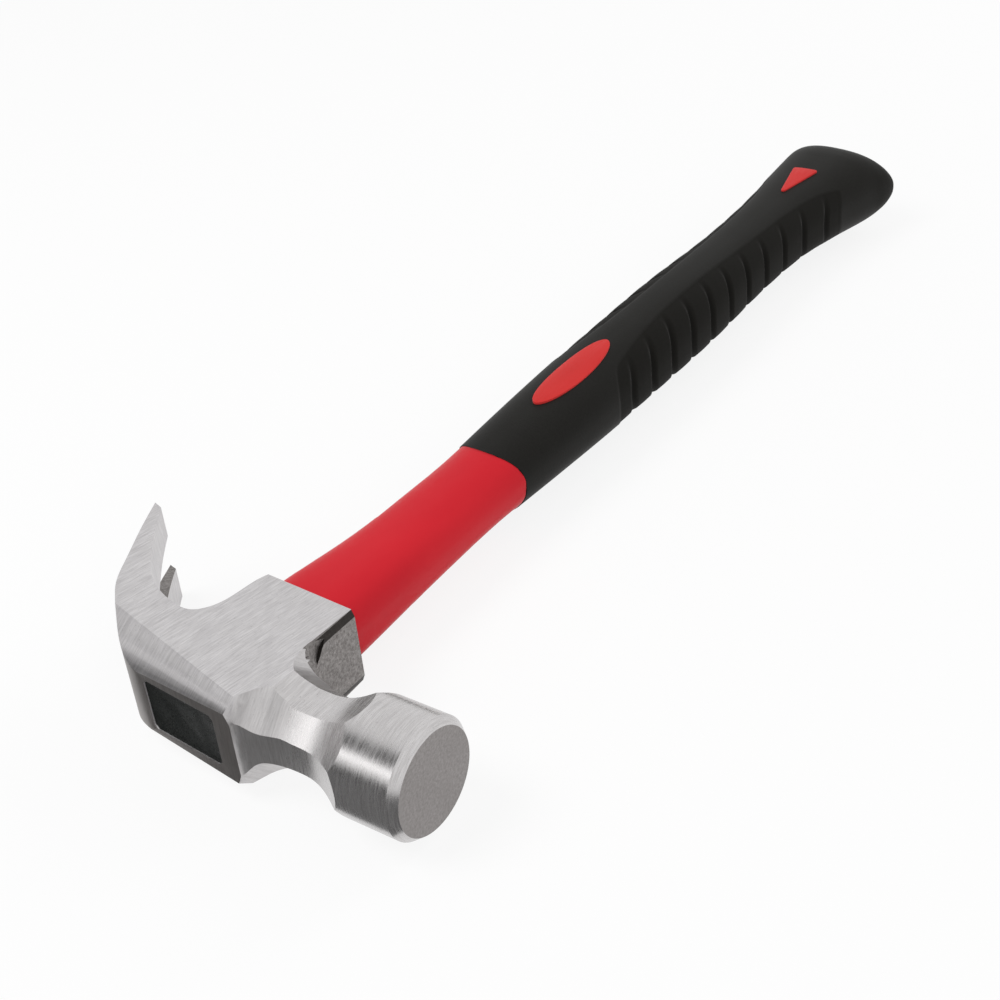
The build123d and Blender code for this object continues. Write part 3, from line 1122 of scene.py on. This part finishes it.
@dataclass
class Studio:
    """Pale floor, soft lamps, cards for the steel to reflect and the camera."""

    camera_place: Triple = (0.163171, -0.181055, 0.227394)
    camera_turn: Triple = (56.18219, 4.993161, 34.267343)
    lens: float = 59.26056
    sensor: float = 36.0
    clip: Span = (0.01, 20.0)
    aim: Triple = (-0.05, 0.12, 0.0)
    lamps: tuple[Lamp, ...] = (
        Lamp("key", (-0.45, -0.35, 0.85), 0.55, 4.5),
        Lamp("fill", (0.75, -0.45, 0.55), 0.6, 2.0),
        Lamp("rim", (0.25, 0.9, 0.5), 0.5, 2.0),
    )
    head_place: Triple = (-0.03, 0.0, 0.0)
    card_distance: float = 0.5
    cards: tuple[Card, ...] = (
        Card("upper_flag", (-0.508, -0.44, 0.735), 0.7, 0.15, 0.12),
        Card("strip", (-0.508, -0.715, 0.481), 0.7, 0.085, 2.3),
        Card("horizon_flag", (-0.508, -0.861, 0.01), 0.9, 0.22, 0.10),
    )
    floor_card: Card = Card("floor_flag", (0.0, 0.0, -1.0), 0.6, 0.6, 0.2)
    floor_card_place: Span = (-0.05, -0.3137)
    floor_card_lift: float = 0.1 * MM
    floor_gap: float = 0.4 * MM
    floor_radius: float = 4.0
    floor_sides: int = 96
    floor_tone: float = 0.86
    floor_roughness: float = 0.9
    floor_veil: float = 0.86
    world_light: float = 0.55

    def camera(self) -> None:
        """Stand the camera where the photograph was taken."""
        data = bpy.data.cameras.new("camera")
        data.lens = self.lens
        data.sensor_width = self.sensor
        data.clip_start, data.clip_end = self.clip
        camera = bpy.data.objects.new("camera", data)
        camera.location = self.camera_place
        camera.rotation_euler = Euler([math.radians(angle) for angle in self.camera_turn])
        bpy.context.scene.collection.objects.link(camera)
        bpy.context.scene.camera = camera

    def hang(self, plan: Lamp) -> None:
        """Hang one soft lamp that faces the hammer.

        Args:
            plan: What the lamp is like.
        """
        data = bpy.data.lights.new(plan.name, "AREA")
        data.shape = "DISK"
        data.size = plan.size
        data.energy = plan.power
        lamp = bpy.data.objects.new(plan.name, data)
        lamp.location = plan.place
        lamp.visible_glossy = False
        way = Vector(self.aim) - Vector(plan.place)
        lamp.rotation_euler = way.to_track_quat("-Z", "Y").to_euler()
        bpy.context.scene.collection.objects.link(lamp)

    def stand(self, plan: Card, place: Vector) -> None:
        """Stand up one card that only reflections see.

        Args:
            plan: What the card is like.
            place: Where its middle is, in metres.
        """
        bpy.ops.object.select_all(action="DESELECT")
        bpy.ops.mesh.primitive_plane_add(size=1.0)
        card = bpy.context.object
        card.name = plan.name
        card.scale = (plan.width, plan.height, 1.0)
        card.rotation_euler = Vector(plan.way).to_track_quat("Z", "Y").to_euler()
        card.location = place
        material = bpy.data.materials.new(plan.name)
        material.use_nodes = True
        tree = material.node_tree
        tree.links.new(plain_glow(tree, plan.tone), tree.nodes["Material Output"].inputs["Surface"])
        card.data.materials.append(material)
        card.visible_camera = False
        card.visible_diffuse = False
        card.visible_shadow = False
        card.visible_transmission = False
        card.visible_volume_scatter = False
        card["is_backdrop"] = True

    def backdrop(
        self, tree: bpy.types.NodeTree, plain: bpy.types.NodeSocket, white: bpy.types.NodeSocket
    ) -> bpy.types.NodeSocket:
        """White for camera, glossy and transmission rays, and a plain shader for the rest.

        Args:
            tree: The node tree that gets the nodes.
            plain: The shader that lights the hammer.
            white: The shader that those rays see.

        Returns:
            The mixed shader socket.
        """
        rays = tree.nodes.new("ShaderNodeLightPath")
        either = tree.nodes.new("ShaderNodeMath")
        either.operation = "MAXIMUM"
        seen = tree.nodes.new("ShaderNodeMath")
        seen.operation = "MAXIMUM"
        mix = tree.nodes.new("ShaderNodeMixShader")
        tree.links.new(rays.outputs["Is Glossy Ray"], either.inputs[0])
        tree.links.new(rays.outputs["Is Transmission Ray"], either.inputs[1])
        tree.links.new(rays.outputs["Is Camera Ray"], seen.inputs[0])
        tree.links.new(either.outputs[0], seen.inputs[1])
        tree.links.new(seen.outputs[0], mix.inputs[0])
        tree.links.new(plain, mix.inputs[1])
        tree.links.new(white, mix.inputs[2])
        return mix.outputs[0]

    def world(self) -> None:
        """White world for the camera and reflections, soft grey light for the rest."""
        world = bpy.data.worlds.new("studio")
        world.use_nodes = True
        tree = world.node_tree
        light = tree.nodes["Background"]
        white = tree.nodes.new("ShaderNodeBackground")
        for node, strength in ((light, self.world_light), (white, 1.0)):
            node.inputs["Color"].default_value = (1.0, 1.0, 1.0, 1.0)
            node.inputs["Strength"].default_value = strength
        backdrop = self.backdrop(tree, light.outputs[0], white.outputs[0])
        tree.links.new(backdrop, tree.nodes["World Output"].inputs["Surface"])
        bpy.context.scene.world = world

    def floor(self, height: float) -> None:
        """Lay the pale floor just under the hammer.

        Args:
            height: Lowest point of the hammer, in metres.
        """
        bpy.ops.object.select_all(action="DESELECT")
        bpy.ops.mesh.primitive_circle_add(
            vertices=self.floor_sides,
            radius=self.floor_radius,
            fill_type="NGON",
            location=(0.0, 0.0, height - self.floor_gap),
        )
        floor = bpy.context.object
        floor.name = "floor"
        material = bpy.data.materials.new("floor")
        material.use_nodes = True
        tree = material.node_tree
        matte = tree.nodes["Principled BSDF"]
        matte.inputs["Base Color"].default_value = (self.floor_tone, self.floor_tone, self.floor_tone, 1.0)
        matte.inputs["Roughness"].default_value = self.floor_roughness
        veil = tree.nodes.new("ShaderNodeMixShader")
        veil.inputs[0].default_value = self.floor_veil
        tree.links.new(matte.outputs[0], veil.inputs[1])
        tree.links.new(plain_glow(tree, 1.0), veil.inputs[2])
        backdrop = self.backdrop(tree, matte.outputs[0], veil.outputs[0])
        tree.links.new(backdrop, tree.nodes["Material Output"].inputs["Surface"])
        floor.data.materials.append(material)
        floor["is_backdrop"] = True

    def build(self, height: float) -> None:
        """Set the whole studio.

        Args:
            height: Lowest point of the hammer, in metres.
        """
        self.camera()
        self.world()
        self.floor(height)
        for plan in self.lamps:
            self.hang(plan)
        for plan in self.cards:
            way = Vector(plan.way).normalized()
            self.stand(plan, Vector(self.head_place) + way * self.card_distance)
        self.stand(self.floor_card, Vector((*self.floor_card_place, height + self.floor_card_lift)))
        bpy.context.scene.view_settings.view_transform = "Standard"


def dress(node: bpy.types.Object, material: bpy.types.Material) -> None:
    """Give a CAD node its finish.

    Args:
        node: The CAD node, whose mesh stays as it is.
        material: Its material.
    """
    if not node.data.materials:
        node.data.materials.append(material)
    for number in range(len(node.data.materials)):
        node.data.materials[number] = material


def main() -> None:
    """Load the frame, then build and dress each piece in order."""
    logging.basicConfig(level=logging.INFO, format="%(message)s")
    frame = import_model()
    nodes = frame["nodes"]
    cad_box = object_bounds()
    Studio().build(cad_box[0].z)
    head = HammerHead().build(nodes["hammer_head"])
    log.info("head: %d faces", len(head.data.polygons))
    resin = EyeResin().build(nodes["eye_resin"])
    log.info("resin: %d faces", len(resin.data.polygons))
    dress(nodes["fibreglass_core"], GlassFibre().material())
    jacket = HandleJacket().build(nodes["handle_jacket"])
    log.info("jacket: %d faces", len(jacket.data.polygons))
    grip = GripSleeve().build()
    log.info("grip: %d faces", len(grip.data.polygons))
    red = MouldedPlastic("inlay_plastic", (0.64, 0.042, 0.040), (0.54, 0.030, 0.028), 0.4).material()
    for inlay in (Inlay("oval", 0.80, 0.5 * MM), Inlay("triangle", 0.94, 0.2 * MM)):
        piece = inlay.build(nodes[f"{inlay.name}_inlay"], red)
        log.info("%s inlay: %d faces", piece.name, len(piece.data.polygons))


if __name__ == "__main__":
    main()
